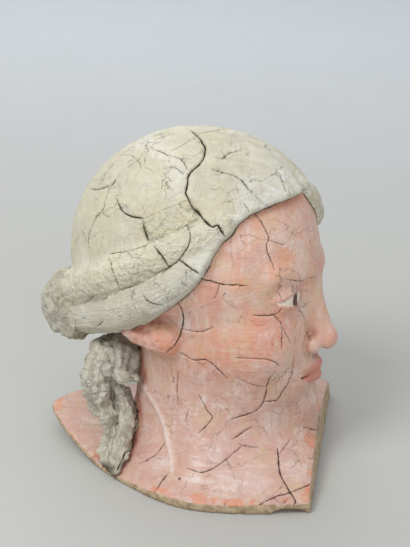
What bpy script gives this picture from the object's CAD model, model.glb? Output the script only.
# A life-size head of a child in fired clay, with cream slip on the hair and patchy pink paint on
# the skin, cracked all over. The clay is one piece: its surface is worked out here as a distance
# field in millimetres, meshed, cracked and painted. In the row frame the chest faces -Y, +Z is up.
import math

import bpy
import numpy as np
from mathutils import Matrix, Vector, kdtree, noise


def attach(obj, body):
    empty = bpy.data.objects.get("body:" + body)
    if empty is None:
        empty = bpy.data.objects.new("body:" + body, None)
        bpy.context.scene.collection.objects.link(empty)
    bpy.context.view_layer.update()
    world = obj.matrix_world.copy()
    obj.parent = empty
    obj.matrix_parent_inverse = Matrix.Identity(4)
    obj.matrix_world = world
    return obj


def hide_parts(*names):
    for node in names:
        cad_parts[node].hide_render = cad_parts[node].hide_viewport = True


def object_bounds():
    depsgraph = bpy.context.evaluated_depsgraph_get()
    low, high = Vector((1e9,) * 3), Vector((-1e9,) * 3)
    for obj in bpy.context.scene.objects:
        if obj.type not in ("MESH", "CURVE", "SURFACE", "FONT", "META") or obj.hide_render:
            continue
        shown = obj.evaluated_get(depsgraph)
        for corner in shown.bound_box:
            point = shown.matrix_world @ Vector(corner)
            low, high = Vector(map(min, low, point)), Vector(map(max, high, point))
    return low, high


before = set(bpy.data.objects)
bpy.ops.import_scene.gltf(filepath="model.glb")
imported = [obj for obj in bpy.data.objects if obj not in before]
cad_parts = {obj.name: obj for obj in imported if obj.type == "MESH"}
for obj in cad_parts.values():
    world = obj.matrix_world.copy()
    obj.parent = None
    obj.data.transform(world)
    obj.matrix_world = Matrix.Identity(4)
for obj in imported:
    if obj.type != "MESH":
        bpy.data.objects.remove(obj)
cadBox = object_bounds()
scene = bpy.context.scene

# The photograph's camera. Lengths in metres, angles in degrees.
photo = {
    "target": (0.0057, -0.0145, 0.1366),
    "azimuth": -80,  # from the front, towards the figure's right
    "elevation": 24,
    "distance": 0.890,
    "focal": 1186.7,  # in pixels
    "size": (410, 547),
}


def makeCamera():
    a, e = math.radians(photo["azimuth"]), math.radians(photo["elevation"])
    back = Vector((math.sin(a) * math.cos(e), -math.cos(a) * math.cos(e), math.sin(e)))
    right = Vector((math.cos(a), math.sin(a), 0))
    turned = Matrix((right, back.cross(right), back)).transposed().to_4x4()
    data = bpy.data.cameras.new("studioCamera")
    data.sensor_fit = "VERTICAL"
    data.lens = data.sensor_height * photo["focal"] / photo["size"][1]
    data.clip_end = 30
    camera = bpy.data.objects.new("studioCamera", data)
    camera.matrix_world = Matrix.Translation(Vector(photo["target"]) + back * photo["distance"]) @ turned
    scene.collection.objects.link(camera)
    scene.camera = camera
    return camera


camera = makeCamera()

# Sizes of the clay in millimetres, the same as in the part.
wall = 11
rim = {
    "halfWidth": 105.5, "middleY": -15, "frontY": -108, "frontSlope": 0.12,
    "frontRight": 92, "frontLeft": 80,
    "backY": 109, "sidePower": 1.18, "backPower": 1.4, "bend": 0.14,
    "lift": 13, "liftFromY": 45, "edge": 6, "backEdge": 3.5, "trimTop": 30, "soft": 1.6,
}
chest = {
    "rise": 32, "fullness": 1.5, "reach": 128, "power": 4, "backDrop": 12, "dropFromY": -20, "dropToY": 60,
}
neck = {"y": -20, "rx": 47, "ry": 54, "flare": 0.6, "flareFrom": 76, "top": 118, "soft": 22}
head = {"x": 3, "y": -12, "z": 140, "turn": 11, "lean": 5, "neckZ": 62}
skull = {"y": -2, "z": 6, "rx": 70, "ry": 87, "rz": 94, "squareness": 2.3}
cap = {"y": -0.5, "z": 10, "rx": 76.5, "ry": 103.5, "rz": 97, "thick": 6, "partDepth": 1.3}
ear = {"x": 58, "y": 23, "z": -32, "long": 22, "wide": 12, "tilt": 74, "deep": 8}
eye = {"x": 29, "y": -69.5, "z": -4, "r": 13, "half": 14.5, "upper": 5.5, "lower": 4, "lid": 1.6}
nose = {"topZ": 6, "tipZ": -41, "tipY": -98, "wing": 11}
mouth = {"z": -67, "half": 22, "y": -91}
chin = {"y": -77, "z": -96, "r": 15}

# The hair's lower edge in side view, and its strands, as [x, y, z, radius] in the head's frame.
hairline = [
    (-100, 80), (-76, 68), (-64, 65), (-52, 60), (-44, 52.5), (-38, 44), (-31, 30), (-25, 18), (-17, 7),
    (10, -17), (40, -38), (120, -55),
]
upperRope = [
    (-52, -32, 51, 12), (-60, -17, 43, 12.5), (-64, -2, 34, 13), (-66, 15, 25, 13.5), (-64, 34, 15, 14),
    (-54, 58, 1, 14), (-24, 88, -18, 16),
]
lowerRope = [
    (-62, -22, 27, 8.5), (-66, -12, 17, 11.5), (-69, 4, 4, 13.5), (-66, 22, -9, 14.5), (-52, 50, -25, 15),
    (-20, 85, -42, 16),
]
band = {"y": -1.2, "z": 55.4, "tilt": 30, "long": 18.3, "wide": 8, "thick": 2.2}
wave = [
    (6, -72, 70, 6), (14, -75, 62, 8), (24, -74, 52, 9.5), (34, -73, 42, 9.5), (44, -66, 36, 9), (52, -48, 36, 9),
    (54, -34, 44, 9),
]
knot = [(-10, 103.5, -31, 20.5), (-9, 108.5, -42, 21.5), (-14, 100, -50, 17.5)]
bun = {"centre": (-27, 60, -73), "radii": (21, 22, 18)}
# The tail's two locks and the ledge under the bun, in the bust's frame.
tail = [
    [
        (-22, 62, 79, 7), (-25, 62, 66, 8.5), (-30, 64, 55, 10.5), (-34, 61, 44, 9), (-37, 53, 31, 7),
        (-43, 50, 21, 6), (-53, 49, 15, 7), (-64, 47, 10, 6), (-71, 44, 7, 4.5),
    ],
    [
        (-21, 52, 50, 7), (-23, 46, 39, 8), (-30, 40, 31, 7.5), (-38, 39, 25, 6.5), (-48, 39, 19, 7),
        (-60, 40, 14, 6.5), (-72, 41, 9, 5),
    ],
]
ledge = [(-30, 57, 68, 3.5), (-32, 45, 63.5, 3.5), (-30, 32, 64, 3.5)]


# Distance fields over many points at once, negative inside.
def length(*parts):
    return np.sqrt(sum(part * part for part in parts))


def smoothstep(x, low, high):
    t = np.clip((x - low) / (high - low), 0, 1)
    return t * t * (3 - 2 * t)


def mirror(p):
    return np.column_stack((-np.abs(p[:, 0]), p[:, 1], p[:, 2]))


def ball(p, centre, radius):
    return length(*(p - np.array(centre, float)).T) - radius


def ellipsoid(p, centre, radii):
    q = (p - np.array(centre, float)).T
    r = np.array(radii, float)[:, None]
    near = length(*(q / r))
    return near * (near - 1) / np.maximum(length(*(q / r**2)), 1e-9)


def rodAndPlace(p, a, b, ra, rb):
    a, b = np.array(a, float), np.array(b, float)
    along = np.clip((p - a) @ (b - a) / ((b - a) @ (b - a)), 0, 1)
    return length(*(p - a - along[:, None] * (b - a)).T) - (ra + (rb - ra) * along), along


def rod(p, a, b, ra, rb):
    return rodAndPlace(p, a, b, ra, rb)[0]


def join(a, b, k):
    h = np.maximum(k - np.abs(a - b), 0) / k
    return np.minimum(a, b) - h * h * k / 4


def cut(a, b, k):
    return -join(-a, b, k)


def overlap(a, b, k):
    return -join(-a, -b, k)


# More points on a smooth curve through the ones given.
def smoothPath(points, parts=6):
    p = np.array(points, float)
    p = np.vstack((2 * p[0] - p[1], p, 2 * p[-1] - p[-2]))
    out = []
    for a, b, c, d in zip(p, p[1:], p[2:], p[3:]):
        t = (np.arange(parts) / parts)[:, None]
        out.append(0.5 * (2 * b + (c - a) * t + (2 * a - 5 * b + 4 * c - d) * t**2 + (3 * b - a - 3 * c + d) * t**3))
    return np.vstack(out + [p[-2:-1]])


def strand(p, points):
    path = smoothPath(points)
    low = (path[:, :3] - path[:, 3:]).min(0)
    high = (path[:, :3] + path[:, 3:]).max(0)
    d = 20 + length(*np.maximum(0, np.maximum(low - 20 - p, p - high - 20)).T)
    near = np.flatnonzero(d <= 20)
    q = p[near]
    for a, b in zip(path, path[1:]):
        d[near] = np.minimum(d[near], rod(q, a[:3], b[:3], a[3], b[3]))
    return d


headTurn = np.array(
    Matrix.Rotation(math.radians(head["lean"]), 3, "Y") @ Matrix.Rotation(-math.radians(head["turn"]), 3, "Z")
)
headFoot = np.array((head["x"], head["y"], head["neckZ"]), float)
headRise = np.array((0, 0, head["z"] - head["neckZ"]), float)


def inHead(p):
    return (p - headFoot) @ headTurn - headRise


def fromHead(p):
    return (p + headRise) @ headTurn.T + headFoot


def headMass(p):
    m = mirror(p)
    q = skull["squareness"]
    side = np.abs((p[:, 1] - skull["y"]) / skull["ry"]) ** q + np.abs((p[:, 2] - skull["z"]) / skull["rz"]) ** q
    d = (length(p[:, 0] / skull["rx"], side ** (1 / q)) - 1) * 78
    d = overlap(d, -p[:, 2] - 30, 40)
    d = join(d, ellipsoid(p, (0, -28, -34), (54, 57, 68)), 18)
    d = join(d, ball(m, (-26, -52, -42), 30), 18)
    d = join(d, ellipsoid(p, (0, -50, -78), (41, 38, 31)), 16)
    d = join(d, ellipsoid(p, (0, -66, -68), (30, 23, 24)), 14)
    return join(d, ball(p, (0, chin["y"], chin["z"]), chin["r"]), 12)


def eyes(p, d):
    m = mirror(p)
    d = join(d, rod(m, (-12, -83, 13), (-43, -70, 15), 4, 3), 13)
    d = cut(d, ellipsoid(m, (-eye["x"], -93, eye["z"] + 1), (17, 10, 10)), 10)
    across = (m[:, 0] + eye["x"]) / eye["half"]
    gap = 1 - across * across
    z = p[:, 2] - eye["z"]
    almond = np.maximum(z - eye["upper"] * gap, -eye["lower"] * gap - z)
    centre = (-eye["x"], eye["y"], eye["z"])
    d = join(d, cut(ball(m, centre, eye["r"] + eye["lid"]), almond, 0.8), 3)
    return join(d, ball(m, centre, eye["r"]), 0.5)


def noseAndMouth(p, d):
    m = mirror(p)
    tipY, tipZ, wing = nose["tipY"], nose["tipZ"], nose["wing"]
    lipY, lipZ, half = mouth["y"], mouth["z"], mouth["half"]
    d = join(d, rod(p, (0, -83, nose["topZ"]), (0, tipY + 3, tipZ + 5), 5, 8), 9)
    d = join(d, ball(p, (0, tipY, tipZ), 8.5), 5)
    d = join(d, ball(m, (-wing, -91, tipZ - 3), 6), 4)
    d = cut(d, ellipsoid(m, (-5.5, -97, tipZ - 9.5), (3, 5, 3.5)), 2)
    d = join(d, rod(m, (-2, lipY, lipZ + 4.5), (-half + 1, -81, lipZ + 0.5), 4.2, 2), 4)
    d = join(d, rod(m, (0, lipY + 0.5, lipZ - 5), (-half + 5, -81, lipZ - 2), 5, 2.5), 4)
    d = cut(d, rod(m, (0, lipY - 6.5, lipZ), (-half - 1, -83, lipZ - 0.5), 1.5, 1), 2)
    return cut(d, rod(m, (0, -95, lipZ - 15), (-10, -93, lipZ - 14), 4, 3), 7)


def ears(p):
    m = mirror(p)
    a = math.radians(ear["tilt"])
    y, z = m[:, 1] - ear["y"], m[:, 2] - ear["z"]
    up, back = z * math.cos(a) + y * math.sin(a), y * math.cos(a) - z * math.sin(a)
    q = np.column_stack((m[:, 0] + ear["x"], back, up))
    d = ellipsoid(q, (0, 0, 0), (ear["deep"], ear["wide"], ear["long"]))
    d = cut(d, ellipsoid(q, (-ear["deep"], -3, 4), (4.5, 5, 12)), 4)
    return join(d, ellipsoid(q, (-1, 0, 6 - ear["long"]), (ear["deep"], 9, 9)), 6)


def hairCap(p, bald):
    outer = ellipsoid(p, (0, cap["y"], cap["z"]), (cap["rx"], cap["ry"], cap["rz"]))
    depth = cap["thick"] + 16 * smoothstep(p[:, 1], -70, 30)
    d = overlap(outer, bald - depth, 6)
    d = overlap(d, (np.interp(p[:, 1], *zip(*hairline)) - p[:, 2]) * 0.6, 3)
    parting = np.exp(-((p[:, 0] / 4) ** 2)) * np.clip((40 - p[:, 1]) / 20, 0, 1)
    return d + cap["partDepth"] * parting


# Places along and across the band, in side view.
def bandPlace(p):
    a = math.radians(band["tilt"])
    y, z = p[:, 1] - band["y"], p[:, 2] - band["z"]
    return z * math.sin(a) - y * math.cos(a), z * math.cos(a) + y * math.sin(a)


# The band is a thin flat strip on the cap, and the ropes are round. The wave is on the left alone.
def ropes(p):
    m = mirror(p)
    onCap = ellipsoid(p, (0, cap["y"], cap["z"]), (cap["rx"], cap["ry"], cap["rz"])) - band["thick"]
    along, across = bandPlace(m)
    strip = np.maximum(np.abs(along) - band["long"], np.abs(across) - band["wide"])
    d = join(overlap(onCap, strip, 1.5), strand(m, upperRope), 2)
    return join(join(d, strand(m, lowerRope), 2), strand(p, wave), 4)


def knotAndBun(p):
    return join(strand(p, knot), ellipsoid(p, bun["centre"], bun["radii"]), 6)


def rimZ(y):
    return rim["lift"] * smoothstep(y, rim["liftFromY"], rim["backY"])


# How far back a point is from the widest place, as a share of the way to the back of the rim.
def backShare(y):
    u = (y - rim["middleY"]) / (rim["backY"] - rim["middleY"])
    e = rim["bend"]
    return (np.sqrt(u * u + e * e) + u) / (np.sqrt(1 + e * e) + 1)


def edgeThickness(y):
    return rim["edge"] - (rim["edge"] - rim["backEdge"]) * smoothstep(y, 0, 60)


# How far a point is outside the D-shaped outline of the rim.
def outline(p):
    x, y = np.abs(p[:, 0]), p[:, 1]
    forward = np.maximum(0, (rim["middleY"] - y) / (rim["middleY"] - rim["frontY"]))
    right = (rim["halfWidth"] - rim["frontRight"]) * forward**2
    left = (rim["halfWidth"] - rim["frontLeft"]) * forward**3
    q = rim["backPower"]
    across = ((x / rim["halfWidth"]) ** q + backShare(y) ** rim["sidePower"]) ** (1 / q)
    return (across - 1) * rim["halfWidth"] + np.where(p[:, 0] < 0, right, left)


def shoulders(p):
    x, y = np.abs(p[:, 0]) / rim["halfWidth"], p[:, 1] - rim["middleY"]
    q, n = rim["backPower"], chest["power"]
    front = (x**n + (np.maximum(0, -y) / chest["reach"]) ** n) ** (1 / n)
    back = (x**q + backShare(p[:, 1]) ** rim["sidePower"]) ** (1 / q)
    share = smoothstep(y, -30, 30)
    t = front * (1 - share) + back * share
    rise = chest["rise"] - chest["backDrop"] * smoothstep(p[:, 1], chest["dropFromY"], chest["dropToY"])
    height = rimZ(p[:, 1]) + edgeThickness(p[:, 1]) + rise * (1 - np.minimum(1.1, t) ** chest["fullness"])
    return (p[:, 2] - height) * 0.8


def bodyMass(p):
    around = length(p[:, 0] / neck["rx"], (p[:, 1] - neck["y"]) / neck["ry"])
    front = 1 - 0.75 * smoothstep(p[:, 1], neck["y"] - 10, neck["y"] + 30)
    below = np.maximum(0, neck["flareFrom"] - p[:, 2])
    flare = below**2 / (below + 20) * neck["flare"] * front
    column = overlap(((around - 1) * neck["rx"] - flare) * 0.9, p[:, 2] - neck["top"], 30)
    return join(shoulders(p), column, 16)


def skinField(p):
    h = inHead(p)
    d = noseAndMouth(h, eyes(h, headMass(h)))
    return join(join(d, ears(h), 4), bodyMass(p), neck["soft"])


def hairField(p):
    h = inHead(p)
    d = join(hairCap(h, headMass(h)), ropes(h), 2)
    d = join(d, knotAndBun(h), 4)
    for lock in (*tail, ledge):
        d = join(d, strand(p, lock), 3)
    return d


# What lies outside the foot: below its underside, or beside or in front of its rim.
def beyondFoot(p):
    beside = np.maximum(outline(p), rim["frontY"] + rim["frontSlope"] * p[:, 2] - p[:, 1])
    return np.maximum(rimZ(p[:, 1]) - p[:, 2], np.where(p[:, 2] < rim["trimTop"], beside, -50))


def hollow(p):
    main = join(headMass(inHead(p)), bodyMass(p), neck["soft"]) + wall
    return np.maximum(main, np.maximum(outline(p) + wall, rim["frontY"] + wall + 2 - p[:, 1]))


def modelled(p):  # before the foot is cut and the inside is hollowed
    d = join(skinField(p), hairField(p), 1)
    return cut(d, ellipsoid(p, (-99, -94, -1), (13, 14, 6)), 1.5)


def clay(p):
    return cut(overlap(modelled(p), beyondFoot(p), rim["soft"]), hollow(p), rim["soft"])


# Meshing of a field, on a grid of cubes: one vertex in each cube that the surface crosses.
mesh = {
    "low": (-114, -128, -10), "high": (114, 128, 258),
    "step": 2.3,
    "hollowKept": 0.15,  # share of the triangles kept inside the hollow
}


def gridValues(field, low, counts, step):
    block = 4
    blocks = [math.ceil(n / block) for n in counts]
    places = np.indices(blocks).reshape(3, -1).T * block + (block - 1) / 2
    coarse = np.concatenate([field(low + part * step) for part in np.array_split(places, 4)])

    def spread(a):
        a = a.reshape(blocks)
        for axis in range(3):
            a = a.repeat(block, axis)
        return a[: counts[0], : counts[1], : counts[2]]

    values = spread(np.where(coarse < 0, -50.0, 50.0))
    near = np.argwhere(spread(np.abs(coarse) < step * block * 1.35 + 2))
    for part in np.array_split(near, 8):
        values[tuple(part.T)] = field(low + part * step)
    return values


# Where the corners of a grid face lie in and out by turns, the one that is out by less is filled.
def fillTouching(values):
    found = True
    while found:
        found = False
        for u, v in ((0, 1), (1, 2), (0, 2)):
            def corner(du, dv):
                where = [slice(None)] * 3
                where[u] = slice(du, values.shape[u] - 1 + du)
                where[v] = slice(dv, values.shape[v] - 1 + dv)
                return values[tuple(where)]
            a, b, c, d = corner(0, 0), corner(1, 0), corner(1, 1), corner(0, 1)
            crossed = ((a < 0) == (c < 0)) & ((b < 0) == (d < 0)) & ((a < 0) != (b < 0))
            if not crossed.any():
                continue
            found = True
            for one, other in ((a, c), (b, d)):
                fill = crossed & (one >= 0)
                low = fill & (one <= other)
                one[low] = -0.05
                other[fill & ~low] = -0.05


def surfaceOf(field):
    low, step = np.array(mesh["low"], float), mesh["step"]
    counts = np.ceil((np.array(mesh["high"]) - low) / step).astype(int) + 1
    values = gridValues(field, low, counts, step)
    fillTouching(values)
    cells = counts - 1
    sums, hits, quads = np.zeros((3, cells.prod())), np.zeros(cells.prod()), []
    for axis in range(3):
        u, v = (axis + 1) % 3, (axis + 2) % 3
        a, b = np.delete(values, -1, axis), np.delete(values, 0, axis)
        at = np.argwhere((a < 0) != (b < 0))
        va, vb = a[tuple(at.T)], b[tuple(at.T)]
        point = at.astype(float)
        point[:, axis] += va / (va - vb)
        around = []
        for du, dv in ((-1, -1), (0, -1), (0, 0), (-1, 0)):
            cell = at.copy()
            cell[:, u] += du
            cell[:, v] += dv
            around.append(np.ravel_multi_index(cell.T, cells))
            hits += np.bincount(around[-1], minlength=len(hits))
            for n in range(3):
                sums[n] += np.bincount(around[-1], point[:, n], len(hits))
        quad = np.stack(around, 1)
        quads.append(np.where(va[:, None] < 0, quad, quad[:, ::-1]))
    used = np.flatnonzero(hits)
    number = np.full(len(hits), -1)
    number[used] = np.arange(len(used))
    points = low + (sums[:, used] / hits[used]).T * step
    return points, number[np.concatenate(quads)]


def settle(points, field, rounds, most=1.0):
    reach = 0.2
    for _ in range(rounds):
        d = field(points)
        slope = np.stack([(field(points + reach * e) - d) / reach for e in np.eye(3)], 1)
        steep = np.maximum((slope**2).sum(1), 0.2)
        points = points - np.clip(d / steep, -most, most)[:, None] * slope
    return points


def edgesOf(faces):
    n = faces.shape[1]
    pairs = np.concatenate([faces[:, [i, (i + 1) % n]] for i in range(n)])
    pairs.sort(1)
    size = int(pairs.max()) + 1
    keys, back = np.unique(pairs[:, 0] * size + pairs[:, 1], return_inverse=True)
    return np.stack((keys // size, keys % size), 1), back.reshape(n, -1).T


def vertexNormals(points, triangles):
    a, b, c = points[triangles[:, 0]], points[triangles[:, 1]], points[triangles[:, 2]]
    face = np.cross(b - a, c - a)
    out = np.zeros_like(points)
    for n in range(3):
        for axis in range(3):
            out[:, axis] += np.bincount(triangles[:, n], face[:, axis], len(points))
    return out / np.maximum(length(*out.T), 1e-9)[:, None]


def relax(points, faces, triangles, rounds):
    edges = edgesOf(faces)[0]
    share = np.bincount(edges.ravel(), minlength=len(points))
    for _ in range(rounds):
        sums = np.zeros_like(points)
        for axis in range(3):
            sums[:, axis] = np.bincount(edges[:, 0], points[edges[:, 1], axis], len(points))
            sums[:, axis] += np.bincount(edges[:, 1], points[edges[:, 0], axis], len(points))
        shift = sums / share[:, None] - points
        normal = vertexNormals(points, triangles)
        points = points + 0.5 * (shift - (shift * normal).sum(1)[:, None] * normal)
    return points


def triangulate(points, quads):
    a, b, c, d = quads.T
    short = length(*(points[a] - points[c]).T) <= length(*(points[b] - points[d]).T)
    first = np.where(short[:, None], np.stack((a, b, c), 1), np.stack((b, c, d), 1))
    second = np.where(short[:, None], np.stack((a, c, d), 1), np.stack((b, d, a), 1))
    return np.concatenate((first, second))


# Splits the edges longer than a length where wanted(middle points) is true.
def refine(points, triangles, wanted, longest):
    edges, own = edgesOf(triangles)
    middle = (points[edges[:, 0]] + points[edges[:, 1]]) / 2
    long = length(*(points[edges[:, 0]] - points[edges[:, 1]]).T) > longest
    split = np.flatnonzero(long)
    split = split[wanted(middle[split])]
    number = np.full(len(edges), -1)
    number[split] = len(points) + np.arange(len(split))
    mids = number[own]
    cases = (mids >= 0).sum(1)
    out = [triangles[cases == 0]]
    for count in (1, 2, 3):
        t, m = triangles[cases == count], mids[cases == count]
        if count < 3:  # turned so that the odd edge is the first for one, and the last for two
            odd = np.argmax(m >= 0, 1) if count == 1 else (np.argmin(m >= 0, 1) + 1) % 3
            turn = (odd[:, None] + np.arange(3)) % 3
            t, m = np.take_along_axis(t, turn, 1), np.take_along_axis(m, turn, 1)
        (a, b, c), (x, y, z) = t.T, m.T
        parts = {
            1: ((a, x, c), (x, b, c)),
            2: ((x, b, y), (a, x, y), (a, y, c)),
            3: ((a, x, z), (x, b, y), (z, y, c), (x, y, z)),
        }[count]
        out += [np.stack(part, 1) for part in parts]
    return np.concatenate((points, middle[split])), np.concatenate(out), split.size


# Where a sight line through a pixel of the photograph meets the clay.
def onClay(pixels):
    pixels = np.array(pixels, float)
    turned = np.array(camera.matrix_world)[:3]
    centre = np.array(photo["size"]) / 2
    across, up = (pixels[:, 0] - centre[0]) / photo["focal"], (centre[1] - pixels[:, 1]) / photo["focal"]
    ray = np.stack((across, up, -np.ones(len(pixels))), 1) @ turned[:, :3].T
    ray /= length(*ray.T)[:, None]
    start = turned[:, 3] * 1000
    far = np.full(len(pixels), 600.0)
    for _ in range(70):
        far += np.clip(modelled(start + ray * far[:, None]), -5, 30) * 0.8
    points = start + ray * far[:, None]
    return points, np.abs(modelled(points)) < 1


# Cracks. Each is its width in millimetres, and a line of pixels of the photograph that it follows.
cracks = {
    "crown": [
        (1.8, [(190, 130), (196, 134), (202, 141), (205, 148), (202, 160), (195, 168), (189, 174), (187, 185),
               (187, 197), (202, 217), (212, 227), (218, 226), (225, 237)]),
        (1.2, [(196, 134), (214, 131), (224, 129)]),
        (1.2, [(87, 189), (100, 189), (110, 185), (117, 177)]),
        (1.3, [(98, 187), (107, 171), (119, 158), (126, 152), (142, 142), (164, 132)]),
        (1.1, [(117, 177), (107, 194), (103, 210), (95, 220), (89, 235), (88, 249)]),
        (1.3, [(116, 196), (120, 208), (127, 215), (140, 218), (145, 219)]),
        (0.8, [(212, 169), (229, 174), (239, 178), (253, 194)]),
        (0.8, [(276, 168), (282, 178), (286, 192)]),
        (0.7, [(245, 204), (250, 213)]),
        (0.8, [(214, 157), (222, 159), (230, 153), (243, 150)]),
        (0.8, [(153, 149), (162, 152), (170, 156), (179, 158), (184, 163), (187, 169)]),
        (0.7, [(164, 169), (174, 167), (179, 170), (184, 174), (189, 173)]),
        (0.5, [(172, 151), (184, 144), (198, 136)]),
        (0.5, [(121, 156), (129, 155), (136, 159), (141, 168)]),
        (0.5, [(145, 145), (153, 149)]),
        (0.6, [(146, 217), (156, 213), (165, 209), (177, 204), (188, 199)]),
        (0.5, [(239, 178), (246, 183), (249, 189)]),
    ],
    "rolls": [
        (2.0, [(143, 222), (144.5, 231), (148, 242)]),
        (0.9, [(148, 244), (132, 250), (122, 252), (109, 254)]),
        (1.5, [(154, 246), (161, 256), (169, 268)]),
        (0.9, [(187, 225), (190, 236), (188, 247), (179, 260), (161, 274)]),
        (1.6, [(179, 260), (190, 268), (199, 275)]),
        (1.0, [(131, 288), (135, 295)]),
        (1.0, [(143, 295), (149, 303), (162, 306)]),
        (1.0, [(109, 259), (114, 275), (119, 287)]),
        (1.0, [(70, 271), (68, 279)]),
        (0.8, [(75, 319), (76, 332)]),
        (0.9, [(103, 321), (96, 328)]),
        (0.6, [(181, 259), (169, 267), (155, 275), (136, 285), (119, 290)]),
        (0.8, [(98, 294), (86, 302), (76, 307)]),
        (0.5, [(76, 316), (83, 324)]),
    ],
    "forehead": [
        (1.0, [(199, 278), (216, 283), (228, 285), (248, 286)]),
        (0.8, [(254, 213), (261, 221), (267, 232), (269, 240), (267, 249), (275, 270)]),
        (0.5, [(268, 240), (275, 242), (285, 245)]),
        (0.5, [(220, 283), (218, 291), (215, 299)]),
        (0.8, [(291, 280), (299, 281), (307, 279), (316, 277)]),
    ],
    "cheek": [
        (0.9, [(282, 309), (273, 315), (254, 316)]),
        (0.8, [(273, 314), (282, 326), (282, 348)]),
        (0.7, [(284, 329), (292, 344)]),
        (0.8, [(297, 308), (304, 316), (306, 330), (311, 340)]),
        (1.0, [(180, 353), (194, 360), (208, 361), (227, 379)]),
        (0.7, [(235, 358), (267, 360), (280, 366)]),
        (0.8, [(236, 378), (249, 384), (265, 387)]),
        (1.0, [(294, 355), (292, 374), (284, 390), (277, 400), (264, 402)]),
        (1.0, [(275, 373), (269, 380), (264, 400), (258, 409), (249, 414), (233, 419)]),
    ],
    "ear": [
        (1.2, [(178, 303), (183, 315), (182, 329), (176, 344), (164, 355)]),
        (0.7, [(183, 329), (199, 332), (214, 327)]),
    ],
    "neck": [
        (0.8, [(199, 395), (206, 409), (212, 417), (207, 425), (198, 433)]),
        (0.7, [(188, 411), (185, 422)]),
        (0.7, [(178, 372), (177, 390), (178, 406)]),
        (1.0, [(233, 439), (252, 427)]),
        (0.8, [(239, 443), (247, 446), (259, 447)]),
        (0.9, [(243, 445), (225, 460), (213, 468), (201, 472), (187, 468)]),
        (0.8, [(225, 460), (232, 466)]),
        (1.0, [(304, 427), (318, 431), (325, 437)]),
        (0.7, [(290, 440), (280, 453)]),
    ],
    "shoulder": [
        (1.4, [(278, 448), (279, 460), (281, 475), (290, 491), (295, 500), (294, 507)]),
        (1.0, [(317, 481), (290, 492), (272, 498), (249, 510)]),
        (1.3, [(165, 441), (160, 450), (152, 457), (140, 463)]),
        (1.3, [(169, 472), (161, 482), (154, 492)]),
        (0.8, [(88, 459), (98, 455)]),
    ],
    "tail": [
        (1.2, [(138, 398), (141, 406), (135, 420), (134, 435), (131, 448), (124, 454), (120, 465), (114, 474)]),
    ],
}
neckRidge = [(143, 385), (150, 396), (157, 408), (162, 418), (165, 428), (169, 445), (172, 460), (172, 472)]
crackStyle = {
    "wander": 0.7,  # pixels that a line strays from its points
    "depth": 2.2,  # how deep a crack 2 mm wide goes
    "plate": 46,  # size of the plates between cracks on the sides that the photograph doesn't show
    "seed": 11,
}


def evenly(line, spacing):
    travelled = np.concatenate(([0], np.cumsum(length(*np.diff(line, axis=0).T))))
    at = np.arange(0, travelled[-1], spacing)
    return np.column_stack([np.interp(at, travelled, line[:, n]) for n in range(line.shape[1])])


# Samples along the cracks that the photograph shows: their places and half widths.
def shownCracks():
    lines, halves = [], []
    for zone in cracks.values():
        for width, points in zone:
            line = evenly(smoothPath(points, 8), 0.45)
            stray = np.array([noise.noise_vector((x * 0.16, y * 0.16, 3)) for x, y in line])
            stray += np.array([noise.noise_vector((x * 0.6, y * 0.6, 8)) for x, y in line]) * 0.5
            step = np.arange(len(line))
            ends = np.minimum(step, step[::-1]) * 0.45
            swell = np.array([noise.noise((x * 0.2, y * 0.2, 5)) for x, y in line])
            lines.append(line + stray[:, :2] * crackStyle["wander"])
            halves.append(width / 2 * (0.45 + 0.55 * smoothstep(ends, 0, 6)) * (1 + 0.5 * swell))
    places, hit = onClay(np.vstack(lines))
    return places[hit], np.concatenate(halves)[hit]


# Samples along the borders of irregular plates, on the sides that the photograph doesn't show.
def unseenCracks(points, triangles):
    dice = np.random.default_rng(crackStyle["seed"])
    size = crackStyle["plate"]
    grid = np.stack(np.meshgrid(*[np.arange(-160, 161, size)] * 3, indexing="ij"), -1).reshape(-1, 3)
    seeds = grid + (0, 0, 120) + dice.uniform(-0.42, 0.42, grid.shape) * size
    bent = points + np.array([noise.noise_vector(p * 0.02) for p in points]) * 16
    bent += np.array([noise.noise_vector(p * 0.09) for p in points]) * 3
    nearest = np.zeros(len(points), int)
    for part in np.array_split(np.arange(len(points)), 12):
        nearest[part] = ((bent[part][:, None] - seeds[None]) ** 2).sum(2).argmin(1)
    edges, own = edgesOf(triangles)
    one, two = nearest[edges[:, 0]], nearest[edges[:, 1]]

    def away(p, seed):
        return ((p - seeds[seed]) ** 2).sum(1)

    a = away(bent[edges[:, 0]], two) - away(bent[edges[:, 0]], one)
    b = away(bent[edges[:, 1]], one) - away(bent[edges[:, 1]], two)
    t = a / np.maximum(a + b, 1e-6)
    crossing = points[edges[:, 0]] * (1 - t)[:, None] + points[edges[:, 1]] * t[:, None]
    low, high = np.minimum(one, two), np.maximum(one, two)
    luck = np.modf(np.abs(np.sin(low * 12.9898 + high * 78.233) * 43758.5453))[0]
    eyePoint = np.array(camera.matrix_world.translation) * 1000
    normals = vertexNormals(points, triangles)[edges[:, 0]]
    sight = eyePoint - crossing
    hidden = (normals * sight).sum(1) / length(*sight.T) < 0.1
    cracked = (one != two) & hidden & (luck > 0.25) & (hollow(crossing) > 3)
    has = cracked[own]
    pairs = has.sum(1) == 2
    which = own[pairs][has[pairs]].reshape(-1, 2)
    steps = np.linspace(0, 1, 5)[:, None, None]
    samples = (crossing[which[:, 0]] * (1 - steps) + crossing[which[:, 1]] * steps).reshape(-1, 3)
    halves = np.tile(0.25 + 0.5 * luck[which[:, 0]] ** 2, 5)
    return samples, halves


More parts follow.
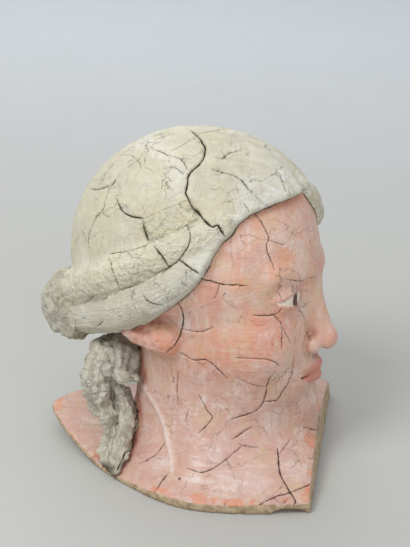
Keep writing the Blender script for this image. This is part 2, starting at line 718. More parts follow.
# Meshes the clay, finer along the cracks and where it is modelled finely.
def meshClay():
    points, quads = surfaceOf(clay)
    points = settle(points, clay, 2)
    triangles = triangulate(points, quads)
    for _ in range(2):
        points = settle(relax(points, quads, triangles, 2), clay, 1)
    triangles = triangulate(points, quads)
    print("clay surface:", len(triangles), "triangles")

    shown, shownHalf = shownCracks()
    unseen, unseenHalf = unseenCracks(points, triangles)
    samples, halves = np.vstack((shown, unseen)), np.concatenate((shownHalf, unseenHalf))
    print("crack samples:", len(shown), "shown,", len(unseen), "unseen")
    tree = kdtree.KDTree(len(samples))
    for i, sample in enumerate(samples):
        tree.insert(sample, i)
    tree.balance()

    def nearCrack(reach):
        return lambda p: np.array([tree.find(q)[2] for q in p]) < reach

    def finelyModelled(p):
        h = inHead(p)
        m = mirror(h)
        eyeZone = ellipsoid(m, (-eye["x"], eye["y"] - 12, eye["z"]), (20, 12, 13))
        mouthZone = ellipsoid(h, (0, -90, (mouth["z"] + nose["tipZ"]) / 2 - 4), (27, 16, 26))
        earZone = ellipsoid(h, (-ear["x"], ear["y"] - 4, ear["z"] - 4), (14, 30, 22))
        inside = hollow(p) < 2
        return (np.minimum(np.minimum(eyeZone, mouthZone), earZone) < 0) & ~inside

    def looseHair(p):
        h = inHead(p)
        lock = np.minimum(strand(p, tail[0]), strand(p, tail[1]))
        return np.minimum(lock, np.minimum(strand(h, knot), ellipsoid(h, bun["centre"], bun["radii"]))) < 1

    for wanted, longest in ((finelyModelled, 1.9), (looseHair, 1.9), (nearCrack(1.8), 1.7), (nearCrack(0.9), 0.95)):
        points, triangles, split = refine(points, triangles, wanted, longest)
        points = settle(points, clay, 1, 0.5)
        print("refined:", split, "edges,", len(triangles), "triangles")

    found = [tree.find(p) for p in points]
    away, which = np.array([f[2] for f in found]), np.array([f[1] for f in found])
    snap = away < 0.33
    points[snap] = samples[which[snap]]
    away[snap] = 0
    return points, triangles, away, halves[which]


def fbm(points, scale, octaves=3):
    return np.array([noise.fractal(Vector(p) * scale, 1.0, 2.0, octaves) for p in points])


# Streaks of the hair: along each strand, and round it, in millimetres.
def strandPlace(p, chains):
    best = np.full(len(p), 1e3)
    along, around = np.zeros(len(p)), np.zeros(len(p))
    for chain in chains:
        travelled = 0
        for a, b in zip(chain, chain[1:]):
            a3, b3 = np.array(a[:3], float), np.array(b[:3], float)
            axis = (b3 - a3) / length(*(b3 - a3))
            side = np.cross(axis, (0.05, 0.1, 1))
            side /= length(*side)
            d, t = rodAndPlace(p, a3, b3, a[3], b[3])
            out = p - a3 - t[:, None] * (b3 - a3)
            angle = np.arctan2(out @ side, out @ np.cross(side, axis))
            closer = d < best
            best = np.where(closer, d, best)
            along = np.where(closer, travelled + t * length(*(b3 - a3)), along)
            around = np.where(closer, angle * (a[3] + b[3]) / 2, around)
            travelled += length(*(b3 - a3))
    return best, along, around


# How far a point is inside the almond of the open eye on its side, in mm, negative inside.
def almond(m):
    across = (m[:, 0] + eye["x"]) / eye["half"]
    gap = 1 - across * across
    z = m[:, 2] - eye["z"]
    return np.maximum(z - eye["upper"] * gap, -eye["lower"] * gap - z)


# Where the paint is warmer or paler, as [x, y, z, reach] in the head's frame, on both sides.
paint = {
    "blush": [
        (-44, -60, -28, 30), (-50, -38, -48, 24), (0, -98, -42, 13), (-58, 24, -34, 26), (-22, -80, 6, 9),
        (-14, -86, -100, 12), (-60, -25, 6, 16),
    ],
    "pale": [
        (-20, -88, 42, 22), (-40, -30, -92, 26), (-58, -8, -20, 14), (0, -92, -90, 10), (-50, -62, 22, 14),
        (-30, -10, -110, 34),
    ],
    "orange": [(-34, -76, 30, 11), (-52, -52, 12, 12), (-30, -78, -72, 12), (-62, 0, -40, 12), (-48, -10, -74, 12)],
}


# Patches that the photograph shows: a pixel, and a reach in mm.
spots = {
    "bare": [
        ((313, 441), 9), ((314, 474), 6), ((313, 490), 6), ((320, 408), 9), ((308, 497), 6), ((70, 436), 4),
        ((198, 499), 6), ((232, 508), 5), ((248, 511), 5), ((264, 513), 6),
    ],
    "pinhole": [((180, 479), 1.8)],
    "chalked": [
        ((292, 470), 14), ((255, 482), 16), ((225, 487), 14), ((190, 480), 10), ((300, 432), 7), ((215, 455), 8),
        ((90, 420), 12), ((185, 325), 9), ((230, 315), 9), ((232, 300), 8), ((270, 420), 12), ((160, 465), 8),
    ],
}


def zone(m, places):
    out = np.zeros(len(m))
    for x, y, z, reach in places:
        out = np.maximum(out, smoothstep(ball(m, (x, y, z), reach) / reach, 0.25, -0.75))
    return out


# How closed in the clay is at each point, 0 to 1, from how near other clay is in front of it.
def shelter(points, normals):
    out = np.zeros(len(points))
    for reach, weight in ((3, 0.4), (7, 0.35), (15, 0.25)):
        out += weight * np.clip(1 - modelled(points + normals * reach) / reach, 0, 1)
    return out


relief = {  # in millimetres
    "swell": 0.5, "ripple": 0.3,
    "ropeStreak": 1.3, "tailStreak": 2.6, "tailLump": 3.4, "knotLump": 3.2, "bunSwirl": 0.8,
    "earLump": 1.3, "lip": 0.2, "neckRidge": 1.1,
}


# Thins the mesh inside the hollow, where the clay is smooth and out of sight.
def thinHollow(piece, hidden, triangles):
    group = piece.vertex_groups.new(name="hollow")
    group.add(np.flatnonzero(hidden).tolist(), 1.0, "REPLACE")
    spare = hidden[triangles].all(1).sum() * (1 - mesh["hollowKept"])
    thinning = piece.modifiers.new("thinning", "DECIMATE")
    thinning.ratio = 1 - spare / len(triangles)
    thinning.vertex_group = "hollow"
    thinning.vertex_group_factor = 1000
    thinned = bpy.data.meshes.new_from_object(piece.evaluated_get(bpy.context.evaluated_depsgraph_get()))
    piece.modifiers.remove(thinning)
    piece.vertex_groups.clear()
    old = piece.data
    piece.data = thinned
    bpy.data.meshes.remove(old)
    thinned.name = "firedClay"


def buildClay():
    points, triangles, crackAway, crackHalf = meshClay()
    normals = vertexNormals(points, triangles)
    skin, hair, foot, inner = skinField(points), hairField(points), beyondFoot(points), hollow(points)
    painted = modelled(points)
    onHair = np.clip(skin - hair, -6, 6)
    raw = np.clip(np.maximum(foot, -inner) - painted, -6, 6)
    inside = np.clip(-inner - np.maximum(painted, foot), -6, 6)
    h = inHead(points)
    m = mirror(h)
    rope, along, around = strandPlace(m, (smoothPath(upperRope, 3), smoothPath(lowerRope, 3)))
    onRope = smoothstep(-rope, -3, 1) * (onHair > 0)
    upper = smoothstep(-strand(m, upperRope), -3, 1) * (onHair > 0)
    tailNear, tailAlong, tailAround = strandPlace(points, [smoothPath(lock, 3) for lock in (*tail, ledge)])
    onTail = smoothstep(-tailNear, -4, 0) * (onHair > 0)
    lumps = np.minimum(strand(h, knot), ellipsoid(h, bun["centre"], bun["radii"]))
    onKnot = smoothstep(-lumps, -4, 0) * (onHair > 0)
    outside = (raw < 0.5) & (inside < -0.5)
    sheltered = np.where(inside > -0.5, 0.4, shelter(points, normals))

    # Relief: undulating slip, streaks along the strands, lumps on the knot and the tail.
    ropeStreaks = np.array([noise.noise((a * 0.03, b * 0.28, 2)) for a, b in zip(along, around)])
    tailStreaks = np.array([noise.noise((a * 0.05, b * 0.26, 7)) for a, b in zip(tailAlong, tailAround)])
    lift = relief["swell"] * fbm(points, 0.045)
    lift += relief["ripple"] * np.where(onHair > 0, 1, 0.35) * fbm(points, 0.2)
    lift += relief["ropeStreak"] * onRope * ropeStreaks + relief["tailStreak"] * onTail * tailStreaks
    lift += relief["tailLump"] * onTail * fbm(points, 0.13, 2)
    lift += relief["knotLump"] * onKnot * fbm(points * (1, 1, 0.55), 0.13, 2)
    fromBun = h - np.array(bun["centre"])
    turns = np.arctan2(fromBun[:, 2], fromBun[:, 1]) + length(fromBun[:, 1], fromBun[:, 2]) * 0.16
    onBun = smoothstep(ellipsoid(h, bun["centre"], bun["radii"]), 3, 0) * (onHair > 0)
    lift += relief["bunSwirl"] * onBun * np.sin(turns * 7)
    ridge = onClay(evenly(smoothPath(neckRidge, 8), 0.6))[0]
    ridgeTree = kdtree.KDTree(len(ridge))
    for i, place in enumerate(ridge):
        ridgeTree.insert(place, i)
    ridgeTree.balance()
    ridgeAway = np.array([ridgeTree.find(p)[2] for p in points])
    lift += relief["neckRidge"] * np.exp(-((ridgeAway / 2.6) ** 2))
    onEar = zone(m, [(-ear["x"], ear["y"], ear["z"], 34)]) * (onHair < 0)
    lift += relief["earLump"] * onEar * fbm(points, 0.22, 3)
    lift = np.where(outside | (onTail > 0.3), lift, 0.3 * fbm(points, 0.1))

    # Grooves of the cracks, whose lips curl up a little.
    groove = np.clip(1 - crackAway / np.maximum(crackHalf, 0.4), 0, 1)
    depth = crackStyle["depth"] * np.clip(crackHalf, 0.35, 1.4) ** 0.7
    lift += relief["lip"] * np.exp(-(((crackAway - 2.2) / 1.6) ** 2)) * outside
    lift -= groove**0.5 * depth
    points = points + normals * lift[:, None]
    lowest, highest = (np.array(corner) * 1000 for corner in cadBox)
    points = np.clip(points, lowest, highest)

    data = bpy.data.meshes.new("firedClay")
    data.vertices.add(len(points))
    data.vertices.foreach_set("co", (points / 1000).astype(np.float32).ravel())
    data.loops.add(triangles.size)
    data.loops.foreach_set("vertex_index", triangles.astype(np.int32).ravel())
    data.polygons.add(len(triangles))
    data.polygons.foreach_set("loop_start", np.arange(0, triangles.size, 3, dtype=np.int32))
    data.update(calc_edges=True)
    data.validate()
    print("before thinning:", len(triangles), "triangles,", int((inside > -0.5)[triangles].all(1).sum()), "inside")

    opened = almond(m)
    frontOfEye = smoothstep(ball(m, (-eye["x"], eye["y"], eye["z"]), eye["r"]), 3.5, 2)
    iris = length(m[:, 0] + eye["x"], h[:, 2] - eye["z"] - 0.4)
    lipAcross = np.abs(h[:, 0]) / mouth["half"]
    lipUp = (h[:, 2] - mouth["z"]) / np.where(h[:, 2] > mouth["z"], 8.5, 9.5)
    lips = smoothstep(length(lipAcross, lipUp), 1.05, 0.8) * smoothstep(h[:, 1], -76, -80)
    alongBand, acrossBand = bandPlace(m)
    onBand = smoothstep(np.maximum(np.abs(alongBand) - band["long"], np.abs(acrossBand) - band["wide"]), 0.5, -1)
    onTailSide = (onTail > onRope)[:, None]
    grain = np.where(onTailSide, np.column_stack((tailAlong, tailAround)), np.column_stack((along, around)))
    values = {
        "hair": onHair, "raw": raw, "inside": inside, "sheltered": sheltered,
        "crackAway": np.minimum(crackAway, 5), "crackHalf": crackHalf,
        "strand": onRope, "tail": onTail, "knot": onKnot, "stipple": np.maximum(upper, onBand * (onHair > 0)),
        "grainAlong": grain[:, 0], "grainAround": grain[:, 1],
        "eyeball": smoothstep(opened, 0.3, -0.3) * frontOfEye, "iris": iris,
        "lidRim": np.exp(-((opened / 1.6) ** 2)) * smoothstep(ball(m, (-eye["x"], eye["y"], eye["z"]), 13), 7, 3),
        "lips": lips, "ear": onEar, "body": smoothstep(points[:, 2], 108, 58), "front": smoothstep(h[:, 1], 40, -70), "ridge": np.exp(-((ridgeAway / 1.6) ** 2)),
        "fringe": smoothstep(h[:, 2] - np.interp(h[:, 1], *zip(*hairline)), 34, 4) * smoothstep(h[:, 1], 8, -30),
    }
    for name, places in paint.items():
        values[name] = zone(m, places)
    for name, places in spots.items():
        centres = onClay([pixel for pixel, _ in places])[0]
        values[name] = zone(points, [(*c, reach) for c, (_, reach) in zip(centres, places)])
    for name, value in values.items():
        data.attributes.new(name, "FLOAT", "POINT").data.foreach_set("value", value.astype(np.float32))
    data.shade_smooth()
    piece = bpy.data.objects.new("firedClayBust", data)
    scene.collection.objects.link(piece)
    thinHollow(piece, inside > 1, triangles)
    return piece


bust = buildClay()
print("bust:", len(bust.data.polygons), "triangles")


# Materials. Colours are given as the eye sees them, 0 to 255.
def colour(r, g, b):
    parts = [v / 255 for v in (r, g, b)]
    return (*[v / 12.92 if v <= 0.04045 else ((v + 0.055) / 1.055) ** 2.4 for v in parts], 1)


def put(tree, kind, settings=None, **inputs):
    made = tree.nodes.new("ShaderNode" + kind)
    for name, value in (settings or {}).items():
        setattr(made, name, value)
    for name, value in inputs.items():
        socket = made.inputs[int(name[1:])] if name[0] == "_" else made.inputs[name]
        if isinstance(value, bpy.types.NodeSocket):
            tree.links.new(value, socket)
        else:
            socket.default_value = value
    return made


def calc(tree, operation, a, b=0.0):
    return put(tree, "Math", {"operation": operation}, _0=a, _1=b).outputs[0]


def ramp(tree, value, low, high, most=1.0):
    settings = {"interpolation_type": "SMOOTHSTEP"}
    return put(tree, "MapRange", settings, _0=value, _1=low, _2=high, _3=0.0, _4=most).outputs[0]


def blend(tree, share, a, b):
    return put(tree, "Mix", {"data_type": "RGBA"}, _0=share, _6=a, _7=b).outputs[2]


def cloud(tree, place, scale, detail=3.0, rough=0.55, twist=0.0, kind="TexNoise"):
    inputs = {"Vector": place, "Scale": scale, "Detail": detail, "Roughness": rough, "Distortion": twist}
    return put(tree, kind, None, **inputs).outputs[0]


def stretched(tree, place, scale, turn=(0.0, 0.0, 0.0)):
    return put(tree, "Mapping", None, Vector=place, Rotation=turn, Scale=scale).outputs[0]


def newGroup(name, inputs, outputs):
    group = bpy.data.node_groups.new(name, "ShaderNodeTree")
    for direction, sockets in (("INPUT", inputs), ("OUTPUT", outputs)):
        for label, (kind, value) in sockets.items():
            socket = group.interface.new_socket(label, in_out=direction, socket_type="NodeSocket" + kind)
            if value is not None:
                socket.default_value = value
    return group, group.nodes.new("NodeGroupInput").outputs, group.nodes.new("NodeGroupOutput").inputs


def use(tree, group, **inputs):
    made = tree.nodes.new("ShaderNodeGroup")
    made.node_tree = group
    for name, value in inputs.items():
        if isinstance(value, bpy.types.NodeSocket):
            tree.links.new(value, made.inputs[name])
        else:
            made.inputs[name].default_value = value
    return made.outputs


# Patches: a share between 0 and 1 in soft patches of a size in metres.
def makePatches():
    inputs = {
        "Place": ("Vector", None), "Size": ("Float", 0.03), "Cover": ("Float", 0.5), "Softness": ("Float", 0.1),
        "Seed": ("Float", 0.0),
    }
    group, given, out = newGroup("patches", inputs, {"Share": ("Float", None)})
    away = put(group, "CombineXYZ", None, X=given["Seed"], Y=given["Seed"]).outputs[0]
    place = put(group, "VectorMath", {"operation": "ADD"}, _0=given["Place"], _1=away).outputs[0]
    scale = calc(group, "DIVIDE", 1.0, given["Size"])
    value = cloud(group, place, scale, 4.0, 0.6, 0.6)
    edge = calc(group, "SUBTRACT", 0.68, calc(group, "MULTIPLY", given["Cover"], 0.36))
    low, high = calc(group, "SUBTRACT", edge, given["Softness"]), calc(group, "ADD", edge, given["Softness"])
    group.links.new(ramp(group, value, low, high), out["Share"])
    return group


# Brush strokes: streaks that run one way in some places and another way in others.
def makeStrokes():
    inputs = {"Place": ("Vector", None), "Width": ("Float", 0.004), "Seed": ("Float", 0.0)}
    group, given, out = newGroup("brushStrokes", inputs, {"Share": ("Float", None), "Height": ("Float", None)})
    away = put(group, "CombineXYZ", None, X=given["Seed"], Z=given["Seed"]).outputs[0]
    place = put(group, "VectorMath", {"operation": "ADD"}, _0=given["Place"], _1=away).outputs[0]
    scale = calc(group, "DIVIDE", 0.5, given["Width"])
    one = cloud(group, stretched(group, place, (1.0, 0.25, 1.0), (0.7, 0.0, 0.2)), scale, 4.0, 0.65, 1.3)
    two = cloud(group, stretched(group, place, (1.0, 1.0, 0.25), (0.5, 0.3, 0.0)), scale, 4.0, 0.65, 1.3)
    which = ramp(group, cloud(group, place, 22.0, 2.0), 0.36, 0.64)
    both = put(group, "Mix", None, _0=which, _2=one, _3=two).outputs[0]
    group.links.new(ramp(group, both, 0.4, 0.74), out["Share"])
    group.links.new(both, out["Height"])
    return group


# Crack lines: dark where a crack is, fainter where it is thin, and a soft stain beside it.
def makeCrackLines():
    inputs = {"Place": ("Vector", None), "Away": ("Float", 5.0), "Half": ("Float", 0.5)}
    group, given, out = newGroup("crackLines", inputs, {"Line": ("Float", None), "Stain": ("Float", None)})
    ragged = calc(group, "MULTIPLY", calc(group, "SUBTRACT", cloud(group, given["Place"], 700.0), 0.5), 0.5)
    away = calc(group, "ADD", given["Away"], ragged)
    beyond = calc(group, "SUBTRACT", away, calc(group, "MULTIPLY", given["Half"], 0.62))
    faint = calc(group, "ADD", ramp(group, given["Half"], 0.15, 0.6, 0.5), 0.5)
    group.links.new(calc(group, "MULTIPLY", ramp(group, beyond, 0.2, -0.12), faint), out["Line"])
    stain = calc(group, "MULTIPLY", ramp(group, beyond, 1.5, 0.0), ramp(group, given["Half"], 0.2, 1.0))
    group.links.new(stain, out["Stain"])
    return group


# Crazing: a broken net of hairline cracks in a dried coat, between patches where there is none.
def makeCrazing():
    inputs = {"Place": ("Vector", None), "Size": ("Float", 0.025), "Width": ("Float", 0.3), "Seed": ("Float", 0.0)}
    group, given, out = newGroup("crazing", inputs, {"Line": ("Float", None)})
    settings = {"noise_dimensions": "3D"}
    wander = put(group, "TexNoise", settings, Vector=given["Place"], Scale=110.0, Detail=3.0).outputs["Color"]
    wander = put(group, "VectorMath", {"operation": "MULTIPLY"}, _0=wander, _1=(0.012, 0.012, 0.012)).outputs[0]
    away = put(group, "CombineXYZ", None, X=given["Seed"], Y=given["Seed"]).outputs[0]
    place = put(group, "VectorMath", {"operation": "ADD"}, _0=given["Place"], _1=wander).outputs[0]
    place = put(group, "VectorMath", {"operation": "ADD"}, _0=place, _1=away).outputs[0]
    scale = calc(group, "DIVIDE", 1.0, given["Size"])
    cells = put(group, "TexVoronoi", {"feature": "DISTANCE_TO_EDGE"}, Vector=place, Scale=scale).outputs[0]
    fromEdge = calc(group, "MULTIPLY", cells, calc(group, "MULTIPLY", given["Size"], 1000.0))
    line = ramp(group, fromEdge, given["Width"], 0.0)
    broken = ramp(group, cloud(group, place, 45.0, 2.0), 0.48, 0.58)
    group.links.new(calc(group, "MULTIPLY", line, broken), out["Line"])
    return group


patches, strokes = makePatches(), makeStrokes()
crackLines, crazing = makeCrackLines(), makeCrazing()

clayLook = {
    "cream": (213, 209, 194), "khaki": (193, 186, 155), "chalk": (231, 229, 223), "ash": (188, 183, 167),
    "straw": (212, 205, 172), "slate": (190, 185, 173), "lit": (232, 227, 208),
    "pink": (224, 194, 180), "deepPink": (214, 166, 148), "white": (230, 216, 208), "orange": (224, 160, 122),
    "ochre": (205, 190, 140), "red": (214, 132, 108), "brick": (164, 92, 68), "lip": (200, 114, 94),
    "duskyPink": (192, 154, 141), "bared": (214, 140, 108),
    "clay": (192, 171, 141), "darkClay": (152, 129, 101),
    "hairCrack": (52, 45, 32), "skinCrack": (72, 44, 33), "dust": (140, 112, 86), "hairDust": (118, 107, 86),
    "eyeWhite": (226, 213, 196), "iris": (94, 62, 44), "pupil": (40, 26, 20),
    "roughSlip": 0.72, "roughPaint": 0.5, "roughClay": 0.9,
}


def hairSlip(tree, place, told, look):
    mottled = use(tree, patches, Place=place, Size=0.045, Cover=0.62, Softness=0.1, Seed=1.0)["Share"]
    tone = blend(tree, calc(tree, "MULTIPLY", mottled, 0.85), look["cream"], look["khaki"])
    blotches = use(tree, patches, Place=place, Size=0.02, Cover=0.42, Softness=0.08, Seed=4.0)["Share"]
    tone = blend(tree, calc(tree, "MULTIPLY", blotches, 0.5), tone, look["ash"])
    yellow = use(tree, patches, Place=place, Size=0.03, Cover=0.65, Softness=0.12, Seed=7.0)["Share"]
    onYellow = calc(tree, "MULTIPLY", yellow, calc(tree, "ADD", calc(tree, "MULTIPLY", told["stipple"], 0.6), 0.2))
    tone = blend(tree, onYellow, tone, look["straw"])
    brushed = use(tree, strokes, Place=place, Width=0.003, Seed=2.0)["Share"]
    chalky = calc(tree, "ADD", calc(tree, "MULTIPLY", told["fringe"], 0.8), 0.3)
    tone = blend(tree, calc(tree, "MULTIPLY", brushed, chalky), tone, look["chalk"])
    grey = calc(tree, "MULTIPLY", told["knot"], 0.35)
    tone = blend(tree, grey, tone, look["slate"])
    tone = blend(tree, calc(tree, "MULTIPLY", told["tail"], 0.6), tone, look["lit"])
    tone = blend(tree, calc(tree, "MULTIPLY", told["strand"], 0.45), tone, look["lit"])
    dapples = ramp(tree, cloud(tree, place, 270.0, 2.0, 0.5), 0.42, 0.6)
    dapples = calc(tree, "MULTIPLY", calc(tree, "SUBTRACT", 1.0, dapples), told["stipple"])
    tone = blend(tree, calc(tree, "MULTIPLY", dapples, 0.35), tone, look["khaki"])
    dirty = use(tree, patches, Place=place, Size=0.008, Cover=0.45, Softness=0.1, Seed=9.0)["Share"]
    rough = calc(tree, "MULTIPLY", calc(tree, "MAXIMUM", told["tail"], told["knot"]), 0.3)
    tone = blend(tree, calc(tree, "MULTIPLY", dirty, calc(tree, "ADD", rough, 0.08)), tone, look["hairDust"])
    shade = ramp(tree, told["sheltered"], 0.3, 0.85, 0.7)
    shade = calc(tree, "MULTIPLY", shade, calc(tree, "SUBTRACT", 1.0, calc(tree, "MULTIPLY", told["knot"], 0.7)))
    return blend(tree, shade, tone, look["hairDust"])


def skinPaint(tree, place, told, look):
    wide = use(tree, patches, Place=place, Size=0.04, Cover=0.5, Softness=0.14, Seed=11.0)["Share"]
    tone = blend(tree, wide, look["pink"], look["deepPink"])
    small = use(tree, patches, Place=place, Size=0.014, Cover=0.5, Softness=0.08, Seed=14.0)["Share"]
    warm = calc(tree, "MULTIPLY", small, calc(tree, "ADD", calc(tree, "MULTIPLY", told["orange"], 0.5), 0.45))
    tone = blend(tree, warm, tone, look["orange"])
    flushed = use(tree, strokes, Place=place, Width=0.005, Seed=17.0)["Share"]
    flush = calc(tree, "MAXIMUM", told["blush"], told["ear"])
    red = calc(tree, "MULTIPLY", flush, calc(tree, "ADD", calc(tree, "MULTIPLY", flushed, 0.45), 0.5))
    tone = blend(tree, red, tone, look["red"])
    tone = blend(tree, calc(tree, "MULTIPLY", told["body"], 0.75), tone, look["duskyPink"])
    brushed = use(tree, strokes, Place=place, Width=0.0035, Seed=20.0)["Share"]
    cover = use(tree, patches, Place=place, Size=0.025, Cover=0.6, Softness=0.12, Seed=23.0)["Share"]
    amount = calc(tree, "ADD", calc(tree, "MULTIPLY", told["pale"], 0.45), calc(tree, "MULTIPLY", cover, 0.65))
    tone = blend(tree, calc(tree, "MULTIPLY", brushed, amount), tone, look["white"])
    chalked = calc(tree, "MULTIPLY", told["chalked"], calc(tree, "ADD", calc(tree, "MULTIPLY", brushed, 0.45), 0.3))
    tone = blend(tree, chalked, tone, look["white"])
    edge = calc(tree, "MULTIPLY", calc(tree, "SUBTRACT", cloud(tree, place, 130.0, 3.0), 0.5), 1.6)
    bare = ramp(tree, calc(tree, "ADD", told["bare"], edge), 0.3, 0.5, 0.75)
    tone = blend(tree, bare, tone, look["bared"])
    tone = blend(tree, ramp(tree, told["pinhole"], 0.3, 0.6), tone, look["skinCrack"])
    hem = calc(tree, "MULTIPLY", ramp(tree, told["hair"], -5.5, -1.0, 0.5), told["front"])
    tone = blend(tree, hem, tone, look["orange"])
    thin = use(tree, strokes, Place=place, Width=0.002, Seed=29.0)["Share"]
    rare = use(tree, patches, Place=place, Size=0.02, Cover=0.4, Softness=0.08, Seed=31.0)["Share"]
    tone = blend(tree, calc(tree, "MULTIPLY", calc(tree, "MULTIPLY", thin, rare), 0.75), tone, look["ochre"])
    flecks = use(tree, patches, Place=place, Size=0.004, Cover=0.4, Softness=0.1, Seed=33.0)["Share"]
    tone = blend(tree, calc(tree, "MULTIPLY", flecks, 0.3), tone, look["deepPink"])
    tone = blend(tree, calc(tree, "MULTIPLY", told["ridge"], 0.7), tone, look["white"])
    tone = blend(tree, calc(tree, "MULTIPLY", told["lips"], 0.7), tone, look["lip"])
    tone = blend(tree, calc(tree, "MULTIPLY", told["lidRim"], 0.55), tone, look["brick"])
    peeling = use(tree, patches, Place=place, Size=0.018, Cover=0.3, Softness=0.02, Seed=36.0)["Share"]
    atRim = calc(tree, "MULTIPLY", ramp(tree, told["raw"], -5.9, -4.5), peeling)
    tone = blend(tree, calc(tree, "MULTIPLY", atRim, 0.7), tone, look["bared"])
    shade = ramp(tree, told["sheltered"], 0.25, 0.8, 0.7)
    return blend(tree, shade, tone, look["brick"])


def makeClayMaterial():
    material = bpy.data.materials.new("paintedClay")
    material.use_nodes = True
    tree = material.node_tree
    shader = tree.nodes["Principled BSDF"]
    place = put(tree, "TexCoord").outputs["Object"]
    told = {}
    for name in bust.data.attributes.keys():
        if bust.data.attributes[name].data_type == "FLOAT" and name != "inside":
            told[name] = put(tree, "Attribute", {"attribute_name": name}).outputs["Fac"]
    look = {name: colour(*v) if isinstance(v, tuple) else v for name, v in clayLook.items()}

    ragged = calc(tree, "SUBTRACT", cloud(tree, place, 260.0, 3.0), 0.5)
    onHair = ramp(tree, calc(tree, "ADD", told["hair"], calc(tree, "MULTIPLY", ragged, 0.9)), -0.2, 0.2)
    tone = blend(tree, onHair, skinPaint(tree, place, told, look), hairSlip(tree, place, told, look))
    seam = ramp(tree, calc(tree, "ABSOLUTE", told["hair"]), 1.0, 0.3, 0.9)
    broken = use(tree, patches, Place=place, Size=0.012, Cover=0.9, Softness=0.1, Seed=38.0)["Share"]
    seam = calc(tree, "MULTIPLY", seam, calc(tree, "ADD", calc(tree, "MULTIPLY", told["front"], 0.6), 0.4))
    seam = calc(tree, "MULTIPLY", seam, calc(tree, "ADD", calc(tree, "MULTIPLY", broken, 0.6), 0.4))
    crackTone = blend(tree, onHair, look["skinCrack"], look["hairCrack"])
    tone = blend(tree, seam, tone, look["hairCrack"])
    for size, width, seed, depth in ((0.034, 0.5, 3.0, 0.55), (0.017, 0.35, 8.0, 0.35)):
        net = use(tree, crazing, Place=place, Size=size, Width=width, Seed=seed)["Line"]
        calm = calc(tree, "MAXIMUM", told["lips"], told["lidRim"])
        net = calc(tree, "MULTIPLY", net, calc(tree, "SUBTRACT", 1.0, calm))
        tone = blend(tree, calc(tree, "MULTIPLY", net, depth), tone, crackTone)

    chipped = calc(tree, "SUBTRACT", cloud(tree, place, 90.0, 4.0, 0.65), 0.5)
    worn = calc(tree, "ADD", told["raw"], calc(tree, "MULTIPLY", chipped, 7.0))
    onRaw = calc(tree, "MAXIMUM", ramp(tree, worn, -0.7, 0.3), ramp(tree, told["raw"], -0.3, 0.2))
    onRaw = calc(tree, "MULTIPLY", onRaw, calc(tree, "SUBTRACT", 1.0, told["tail"]))
    grit = use(tree, patches, Place=place, Size=0.006, Cover=0.5, Softness=0.15, Seed=40.0)["Share"]
    tone = blend(tree, onRaw, tone, blend(tree, grit, look["clay"], look["darkClay"]))

    iris = ramp(tree, told["iris"], 5.6, 5.0)
    pupil = ramp(tree, told["iris"], 2.6, 2.0)
    eyeTone = blend(tree, pupil, blend(tree, iris, look["eyeWhite"], look["iris"]), look["pupil"])
    tone = blend(tree, told["eyeball"], tone, eyeTone)

    cracked = use(tree, crackLines, Place=place, Away=told["crackAway"], Half=told["crackHalf"])
    tone = blend(tree, calc(tree, "MULTIPLY", cracked["Stain"], 0.2), tone, look["dust"])
    tone = blend(tree, cracked["Line"], tone, crackTone)
    tree.links.new(tone, shader.inputs["Base Color"])

    rough = put(tree, "Mix", None, _0=onHair, _2=look["roughPaint"], _3=look["roughSlip"]).outputs[0]
    rough = put(tree, "Mix", None, _0=onRaw, _2=rough, _3=look["roughClay"]).outputs[0]
    uneven = calc(tree, "MULTIPLY", calc(tree, "SUBTRACT", cloud(tree, place, 120.0), 0.5), 0.3)
    tree.links.new(calc(tree, "ADD", rough, uneven), shader.inputs["Roughness"])

    # Fine relief in millimetres: brush marks, pebbled slip, streaks along the strands, grit.
    strokeHeight = use(tree, strokes, Place=place, Width=0.0022, Seed=50.0)["Height"]
    pebbles = cloud(tree, place, 270.0, 2.0, 0.5)
    grain = put(tree, "CombineXYZ", None, X=told["grainAlong"], Y=told["grainAround"]).outputs[0]
    streaks = cloud(tree, stretched(tree, grain, (0.07, 0.8, 1.0)), 1.0, 4.0, 0.6)
    grains = cloud(tree, place, 900.0, 2.0)
    onStreaks = calc(tree, "MAXIMUM", calc(tree, "SUBTRACT", told["strand"], told["stipple"]), told["tail"])
    height = calc(tree, "MULTIPLY", strokeHeight, 1.1)
    pebbled = calc(tree, "MULTIPLY", told["stipple"], 3.2)
    height = calc(tree, "ADD", height, calc(tree, "MULTIPLY", pebbles, calc(tree, "ADD", pebbled, 0.25)))
    height = calc(tree, "ADD", height, calc(tree, "MULTIPLY", calc(tree, "MULTIPLY", streaks, onStreaks), 3.0))
    lumpy = cloud(tree, place, 190.0, 4.0, 0.7)
    onLumps = calc(tree, "MULTIPLY", calc(tree, "MAXIMUM", told["knot"], told["tail"]), 4.0)
    height = calc(tree, "ADD", height, calc(tree, "MULTIPLY", lumpy, onLumps))
    height = calc(tree, "ADD", height, calc(tree, "MULTIPLY", grains, 0.12))
    bump = put(tree, "Bump", None, Strength=1.0, Distance=0.001, Height=height).outputs[0]
    tree.links.new(bump, shader.inputs["Normal"])
    return material


bust.data.materials.append(makeClayMaterial())
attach(bust, "root")
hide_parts("clay_bust")


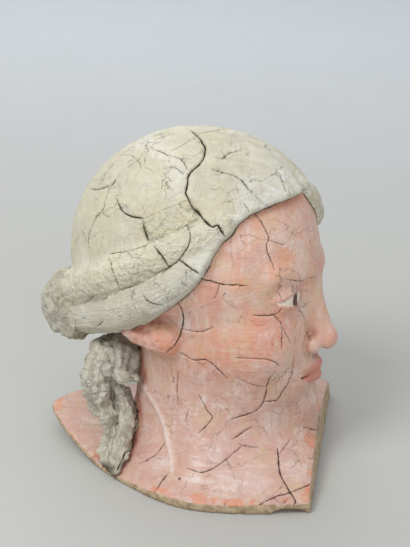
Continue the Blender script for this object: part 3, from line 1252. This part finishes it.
# Floor, light and air. Lamps are (name, place in metres, watts, size).
studio = {
    "floor": (184, 184, 179), "farFloor": (203, 207, 210), "farFrom": 0.15, "farTo": 1.5,
    "air": (227, 230, 234), "airStrength": 0.81,
    "lamps": [
        ("keyLight", (-0.95, 0.7, 1.6), 19, 0.8),
        ("fillLight", (-1.5, -1.2, 0.9), 5, 1.5),
        ("backLight", (1.6, 0.8, 1.8), 14, 1.6),
    ],
}


def makeStudio():
    data = bpy.data.meshes.new("floor")
    reach = 6
    corners = [(-reach, -reach, 0), (reach, -reach, 0), (reach, reach, 0), (-reach, reach, 0)]
    data.from_pydata(corners, [], [(0, 1, 2, 3)])
    floor = bpy.data.objects.new("floor", data)
    scene.collection.objects.link(floor)
    material = bpy.data.materials.new("paleFloor")
    material.use_nodes = True
    tree = material.node_tree
    place = put(tree, "TexCoord").outputs["Object"]
    away = put(tree, "SeparateXYZ", None, Vector=place).outputs[0]
    far = ramp(tree, away, studio["farFrom"], studio["farTo"])
    tone = blend(tree, far, colour(*studio["floor"]), colour(*studio["farFloor"]))
    smudge = use(tree, patches, Place=place, Size=0.09, Cover=0.35, Softness=0.2, Seed=60.0)["Share"]
    tone = blend(tree, calc(tree, "MULTIPLY", smudge, 0.06), tone, colour(170, 166, 158))
    tree.links.new(tone, tree.nodes["Principled BSDF"].inputs["Base Color"])
    tree.nodes["Principled BSDF"].inputs["Roughness"].default_value = 0.85
    data.materials.append(material)
    world = bpy.data.worlds.new("air")
    world.use_nodes = True
    world.node_tree.nodes["Background"].inputs["Color"].default_value = colour(*studio["air"])
    world.node_tree.nodes["Background"].inputs["Strength"].default_value = studio["airStrength"]
    scene.world = world
    for name, spot, power, size in studio["lamps"]:
        lamp = bpy.data.lights.new(name, "AREA")
        lamp.energy = power
        lamp.size = size
        light = bpy.data.objects.new(name, lamp)
        aim = Vector((0, 0, 0.12)) - Vector(spot)
        light.matrix_world = Matrix.Translation(spot) @ aim.to_track_quat("-Z", "Y").to_matrix().to_4x4()
        scene.collection.objects.link(light)
    scene.view_settings.view_transform = "Standard"


makeStudio()
